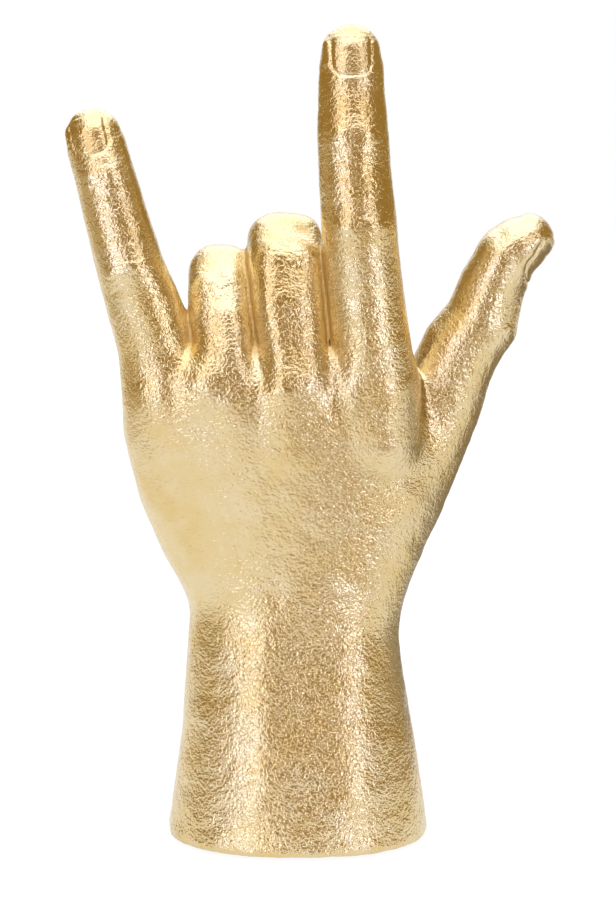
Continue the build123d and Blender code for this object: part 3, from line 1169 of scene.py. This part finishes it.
@dataclass(frozen=True)
class GoldLeaf:
    """Bright gold leaf laid over a stippled ground."""

    pale: Colour = (0.73, 0.6, 0.355, 1.0)
    deep: Colour = (0.7, 0.53, 0.24, 1.0)
    # painted shade: the colour that the grooves between the fingers are darkened towards
    crevice_shade: Colour = (0.58, 0.39, 0.13, 1.0)
    wrinkle: float = 1150.0
    wrinkle_depth: float = 0.28 * MM
    lump: float = 420.0
    lump_depth: float = 0.17 * MM
    patch: float = 70.0
    polished: float = 0.55
    glossiest: float = 0.16
    dullest: float = 0.27
    crevice_roughness: float = 0.35

    def material(self) -> bpy.types.Material:
        """The leaf with its wrinkles, lumps, patches of tone, uneven gloss, and rougher crevices with
        painted shade.
        """
        nodes = Nodes("gold_leaf")
        shader = nodes.shader
        shader.inputs["Metallic"].default_value = 1.0
        place = nodes.add("ShaderNodeTexCoord").outputs["Object"]
        wrinkle = nodes.add(
            "ShaderNodeTexNoise", Scale=self.wrinkle, Detail=1.5, Roughness=0.5, Distortion=0.4
        )
        lump = nodes.add("ShaderNodeTexNoise", Scale=self.lump, Detail=2.0, Roughness=0.5)
        patch = nodes.add("ShaderNodeTexNoise", Scale=self.patch, Detail=3.0, Roughness=0.6)
        for texture in (wrinkle, lump, patch):
            nodes.join(place, texture.inputs["Vector"])
        polish = nodes.add("ShaderNodeAttribute", attribute_name="polish")
        plain = nodes.add("ShaderNodeMapRange", To_Min=1.0, To_Max=self.polished)
        nodes.join(polish.outputs["Fac"], plain.inputs["Value"])
        low = nodes.add("ShaderNodeBump", Distance=self.lump_depth)
        nodes.join(plain.outputs["Result"], low.inputs["Strength"])
        nodes.join(lump.outputs["Fac"], low.inputs["Height"])
        high = nodes.add("ShaderNodeBump", Distance=self.wrinkle_depth)
        nodes.join(plain.outputs["Result"], high.inputs["Strength"])
        nodes.join(wrinkle.outputs["Fac"], high.inputs["Height"])
        nodes.join(low.outputs["Normal"], high.inputs["Normal"])
        nodes.join(high.outputs["Normal"], shader.inputs["Normal"])
        tone = nodes.add("ShaderNodeMix", data_type="RGBA")
        tone.inputs[6].default_value = self.deep
        tone.inputs[7].default_value = self.pale
        share = nodes.add("ShaderNodeMapRange", From_Min=0.3, From_Max=0.62)
        nodes.join(patch.outputs["Fac"], share.inputs["Value"])
        nodes.join(share.outputs["Result"], tone.inputs["Factor"])
        # painted shade: the base colour darkens in the grooves between the fingers, which are also made
        # rougher
        recess = nodes.add("ShaderNodeAttribute", attribute_name="recess")
        crevice_shading = nodes.add("ShaderNodeMix", data_type="RGBA")
        crevice_shading.inputs[7].default_value = self.crevice_shade
        nodes.join(recess.outputs["Fac"], crevice_shading.inputs["Factor"])
        nodes.join(tone.outputs[2], crevice_shading.inputs[6])
        nodes.join(crevice_shading.outputs[2], shader.inputs["Base Color"])
        gloss = nodes.add(
            "ShaderNodeMapRange", From_Min=0.3, From_Max=0.7, To_Min=self.glossiest, To_Max=self.dullest
        )
        nodes.join(lump.outputs["Fac"], gloss.inputs["Value"])
        rough = nodes.add("ShaderNodeMath", operation="MULTIPLY_ADD")
        rough.inputs[1].default_value = self.crevice_roughness
        nodes.join(recess.outputs["Fac"], rough.inputs[0])
        nodes.join(gloss.outputs["Result"], rough.inputs[2])
        nodes.join(rough.outputs["Value"], shader.inputs["Roughness"])
        return nodes.material


@dataclass(frozen=True)
class Matt:
    """A dull finish of fine specks or fibres in two tones."""

    name: str
    dark: Colour
    pale: Colour
    pale_from: float
    roughness: float
    sheen: float
    grain: tuple[float, float, float, float]
    depth: float

    def material(self) -> bpy.types.Material:
        """The finish, with its grain in the colour and in the surface."""
        nodes = Nodes(self.name)
        shader = nodes.shader
        shader.inputs["Roughness"].default_value = self.roughness
        shader.inputs["Sheen Weight"].default_value = self.sheen
        place = nodes.add("ShaderNodeTexCoord").outputs["Object"]
        scale, detail, harshness, distortion = self.grain
        speck = nodes.add(
            "ShaderNodeTexNoise", Scale=scale, Detail=detail, Roughness=harshness, Distortion=distortion
        )
        nodes.join(place, speck.inputs["Vector"])
        tone = nodes.add("ShaderNodeValToRGB")
        for element, position, colour in zip(
            tone.color_ramp.elements, (0.35, self.pale_from), (self.dark, self.pale)
        ):
            element.position = position
            element.color = colour
        nodes.join(speck.outputs["Fac"], tone.inputs["Fac"])
        nodes.join(tone.outputs["Color"], shader.inputs["Base Color"])
        bump = nodes.add("ShaderNodeBump", Distance=self.depth)
        nodes.join(speck.outputs["Fac"], bump.inputs["Height"])
        nodes.join(bump.outputs["Normal"], shader.inputs["Normal"])
        return nodes.material


BISCUIT = Matt(
    name="biscuit",
    dark=(0.5, 0.42, 0.33, 1.0),
    pale=(0.62, 0.55, 0.46, 1.0),
    pale_from=0.6,
    roughness=0.9,
    sheen=0.0,
    grain=(900.0, 4.0, 0.6, 0.0),
    depth=0.08 * MM,
)
FELT = Matt(
    name="felt",
    dark=(0.03, 0.027, 0.024, 1.0),
    pale=(0.075, 0.068, 0.06, 1.0),
    pale_from=0.65,
    roughness=1.0,
    sheen=0.4,
    grain=(1600.0, 5.0, 0.7, 2.0),
    depth=0.2 * MM,
)


@dataclass(frozen=True)
class Foot:
    """What closes the cut wrist below: the bare base plate and the felt under it."""

    rings: int = 14
    around: int = 96
    edge: float = 0.3 * MM

    def plate(self, clay: bpy.types.Material) -> bpy.types.Object:
        """The base plate's own solid, in its finish.

        Args:
            clay: the plate's finish.

        Returns:
            The plate.
        """
        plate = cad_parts["base_plate"]
        plate.data.materials.clear()
        plate.data.materials.append(clay)
        return plate

    def felt(self, wool: bpy.types.Material) -> bpy.types.Object:
        """The felt oval, with a soft edge and a slightly uneven underside.

        Args:
            wool: the felt's finish.

        Returns:
            The felt, laid under the plate.
        """
        low, high = (np.array(corner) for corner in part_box("felt_pad"))
        half = 0.5 * (high - low)
        centre = 0.5 * (high + low)
        turn = np.linspace(0.0, 2.0 * math.pi, self.around, endpoint=False)
        shares = np.linspace(1.0 / self.rings, 1.0, self.rings)
        points: list[Triple] = []
        for top in (False, True):
            for share in shares:
                inset = 1.0 - self.edge / half[0] if share == 1.0 else share
                for number, angle in enumerate(turn):
                    ripple = math.sin(23.0 * share + 5.0 * number) * math.cos(3.0 * number)
                    lift = 0.04 * MM * (1.0 + ripple)
                    height = high[2] if top else low[2] + (self.edge if share == 1.0 else lift)
                    x = centre[0] + half[0] * inset * math.cos(angle)
                    y = centre[1] + half[1] * inset * math.sin(angle)
                    points.append((x, y, height))
        outline = zip(centre[0] + half[0] * np.cos(turn), centre[1] + half[1] * np.sin(turn))
        points += [(x, y, centre[2]) for x, y in outline]
        points += [(centre[0], centre[1], low[2] + 0.02 * MM), (centre[0], centre[1], high[2])]
        count = self.rings * self.around
        faces: list[tuple[int, ...]] = []
        for one in range(self.around):
            other = (one + 1) % self.around
            for ring in range(self.rings - 1):
                a, b = ring * self.around + one, ring * self.around + other
                faces.append((a, b, b + self.around, a + self.around))
                faces.append((count + b, count + a, count + a + self.around, count + b + self.around))
            rim, last = 2 * count, (self.rings - 1) * self.around
            faces.append((last + one, last + other, rim + other, rim + one))
            faces.append((rim + one, rim + other, count + last + other, count + last + one))
            faces.append((rim + self.around, other, one))
            faces.append((rim + self.around + 1, count + one, count + other))
        mesh = bpy.data.meshes.new("felt_oval")
        mesh.from_pydata(points, [], faces)
        mesh.materials.append(wool)
        thing = put("felt_oval", mesh)
        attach(thing, "root")
        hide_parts("felt_pad")
        return thing


@dataclass(frozen=True)
class Studio:
    """Floor, lamps, the dark room behind the camera and the camera of the photograph."""

    camera_place: Triple = (0.00303, -0.8, 0.236)
    camera_pitch: float = 8.46
    lens: float = 108.84
    wall_radius: float = 1.7
    wall_height: float = 1.45
    wall_start: float = -150.0
    wall_end: float = 150.0
    daylight: Triple = (0.53, 0.61, 1.0)
    warm_light: Triple = (0.55, 0.54, 0.6)
    roof_light: Triple = (0.55, 0.58, 0.78)
    floor_colour: Triple = (0.16, 0.155, 0.15)
    floor_glow: float = 0.9
    floor_side: float = 2.2
    room_glow: Colour = (0.37, 0.24, 0.065, 1.0)
    round_steps: int = 48
    strip_reach: float = 1.25
    strip_heights: tuple[float, ...] = (0.03, 0.2, 0.5, 1.0)
    roof_aim: Triple = (0.0, 0.0, 0.15)

    def camera(self) -> None:
        """The camera at the photograph's angle."""
        data = bpy.data.cameras.new("camera")
        data.lens = self.lens
        camera = put("camera", data)
        camera.location = self.camera_place
        camera.rotation_euler = (math.radians(90.0 - self.camera_pitch), 0.0, 0.0)
        bpy.context.scene.camera = camera

    def stand(
        self, name: str, points: list[Triple], faces: list[tuple[int, ...]], colour: Triple
    ) -> tuple[bpy.types.Object, Nodes]:
        """A plain matt surface of the studio.

        Args:
            name: its name.
            points: its points in metres.
            faces: its faces.
            colour: its colour.

        Returns:
            The surface and its finish.
        """
        mesh = bpy.data.meshes.new(name)
        mesh.from_pydata(points, [], faces)
        thing = put(name, mesh)
        nodes = Nodes(name)
        nodes.shader.inputs["Base Color"].default_value = (*colour, 1.0)
        nodes.shader.inputs["Roughness"].default_value = 1.0
        nodes.shader.inputs["Specular IOR Level"].default_value = 0.0
        mesh.materials.append(nodes.material)
        return thing, nodes

    def surfaces(self) -> None:
        """The floor, and the dark room and dim patches that the gold mirrors on the camera's side."""
        side = self.floor_side
        corners = [(-side, -side, 0.0), (side, -side, 0.0), (side, side, 0.0), (-side, side, 0.0)]
        _, nodes = self.stand("floor", corners, [(0, 1, 2, 3)], self.floor_colour)
        nodes.shader.inputs["Emission Color"].default_value = (1.0, 1.0, 1.0, 1.0)
        seen = nodes.add("ShaderNodeLightPath")
        level = None
        for ray in ("Is Camera Ray", "Is Glossy Ray", "Is Transmission Ray"):
            added = nodes.add("ShaderNodeMath", operation="MULTIPLY_ADD")
            added.inputs[1].default_value = self.floor_glow
            added.inputs[2].default_value = 0.0
            nodes.join(seen.outputs[ray], added.inputs[0])
            if level is not None:
                nodes.join(level, added.inputs[2])
            level = added.outputs["Value"]
        nodes.join(level, nodes.shader.inputs["Emission Strength"])
        points = []
        for number in range(self.round_steps + 1):
            share = number / self.round_steps
            angle = math.radians(self.wall_start + (self.wall_end - self.wall_start) * share)
            x, y = self.wall_radius * math.sin(angle), -self.wall_radius * math.cos(angle)
            points += [(x, y, 0.0), (x, y, self.wall_height)]
        faces = [(2 * n, 2 * n + 2, 2 * n + 3, 2 * n + 1) for n in range(self.round_steps)]
        room, nodes = self.stand("dark_room", points, faces, (0.05, 0.04, 0.02))
        room.visible_camera = False
        nodes.shader.inputs["Emission Color"].default_value = self.room_glow
        nodes.shader.inputs["Emission Strength"].default_value = 1.0
        shades = (
            ("shade_front", (0.13, -0.35), 0.001, (0.11, 0.3), (0.5, 0.36, 0.17)),
            ("shade_far", (0.0, -1.15), 0.004, (1.0, 0.72), (0.48, 0.36, 0.18)),
            ("shade_side", (0.4, 0.33), 0.002, (0.42, 0.42), (0.28, 0.23, 0.15)),
            ("shade_left", (-0.75, -0.1), 0.003, (0.52, 0.6), (0.55, 0.44, 0.27)),
        )
        for name, centre, height, radii, tint in shades:
            self.shade(name, centre, height, radii, tint)

    def shade(
        self,
        name: str,
        centre: tuple[float, float],
        height: float,
        radii: tuple[float, float],
        tint: Triple,
    ) -> None:
        """A dim patch of floor that only the gold mirrors, fading out into the floor.

        Args:
            name: its name.
            centre: its middle on the floor, in metres.
            height: how far it lies over the floor.
            radii: its half width and half depth.
            tint: how much of the floor's light is left in its middle.
        """
        turns = [math.tau * number / self.round_steps for number in range(self.round_steps)]
        rim = [(math.cos(turn), math.sin(turn), 0.0) for turn in turns]
        patch, nodes = self.stand(name, rim, [tuple(range(len(rim)))], self.floor_colour)
        patch.location = (*centre, height)
        patch.scale = (*radii, 1.0)
        patch.visible_camera = False
        patch.visible_shadow = False
        patch.visible_diffuse = False
        place = nodes.add("ShaderNodeTexCoord")
        fade = nodes.add("ShaderNodeTexGradient", gradient_type="SPHERICAL")
        tone = nodes.add("ShaderNodeValToRGB")
        tone.color_ramp.interpolation = "EASE"
        tone.color_ramp.elements[0].color = (1.0, 1.0, 1.0, 1.0)
        tone.color_ramp.elements[1].position = 0.4
        tone.color_ramp.elements[1].color = (*tint, 1.0)
        dim = nodes.add("ShaderNodeMix", data_type="RGBA", blend_type="MULTIPLY", Factor=1.0)
        dim.inputs[6].default_value = (*self.floor_colour, 1.0)
        nodes.shader.inputs["Emission Strength"].default_value = self.floor_glow
        nodes.join(place.outputs["Object"], fade.inputs["Vector"])
        nodes.join(fade.outputs["Fac"], tone.inputs["Fac"])
        nodes.join(tone.outputs["Color"], dim.inputs[7])
        nodes.join(dim.outputs[2], nodes.shader.inputs["Base Color"])
        nodes.join(tone.outputs["Color"], nodes.shader.inputs["Emission Color"])

    def lamp(
        self, name: str, place: Triple, aim: Triple, size: tuple[float, float], power: float, colour: Triple
    ) -> None:
        """One soft lamp, aimed at a point.

        Args:
            name: its name.
            place: where it stands, in metres.
            aim: the point it faces.
            size: its width and height.
            power: its power in watts.
            colour: the colour of its light.
        """
        data = bpy.data.lights.new(name, "AREA")
        data.shape = "RECTANGLE"
        data.size, data.size_y = size
        data.energy = power
        data.color = colour
        lamp = put(name, data)
        lamp.location = place
        lamp.rotation_euler = (Vector(aim) - Vector(place)).to_track_quat("-Z", "Y").to_euler()

    def build(self) -> None:
        """Sets the whole studio."""
        self.camera()
        self.surfaces()
        heights = self.strip_heights
        strips = (("left", -32.0, 0.82, (15.5, 4.5, 6.2)), ("right", 37.0, 0.52, (20.0, 4.5, 5.0)))
        for side, angle, width, levels in strips:
            turn = math.radians(angle)
            x, y = self.strip_reach * math.sin(turn), -self.strip_reach * math.cos(turn)
            for number, level in enumerate(levels):
                tall = heights[number + 1] - heights[number]
                middle = heights[number] + 0.5 * tall
                name = f"strip_{side}_{number}"
                colour = self.warm_light if number else self.daylight
                aim = (0.0, 0.0, middle)
                self.lamp(name, (x, y, middle), aim, (width, tall), level * width * tall, colour)
        roofs = (
            ("overhead", (0.0, -0.55, 1.35), (1.8, 2.0), 20.0),
            ("overhead_back", (0.0, 0.85, 1.15), (1.6, 1.1), 9.8),
        )
        for name, place, size, power in roofs:
            self.lamp(name, place, self.roof_aim, size, power, self.roof_light)
        world = bpy.data.worlds.new("white_room")
        bpy.context.scene.world = world
        world.use_nodes = True
        background = world.node_tree.nodes["Background"]
        background.inputs["Color"].default_value = (1.0, 1.0, 1.0, 1.0)
        background.inputs["Strength"].default_value = 1.0
        bpy.context.scene.view_settings.view_transform = "Standard"


def main() -> None:
    """Builds every piece in order and reports it."""
    logging.basicConfig(level=logging.INFO, format="%(message)s")
    foot = Foot()
    made = CastHand().build(GoldLeaf().material())
    made += [foot.plate(BISCUIT.material()), foot.felt(FELT.material())]
    for piece in made:
        log.info("%s: %d faces", piece.name, len(piece.data.polygons))
    Studio().build()


if __name__ == "__main__":
    main()
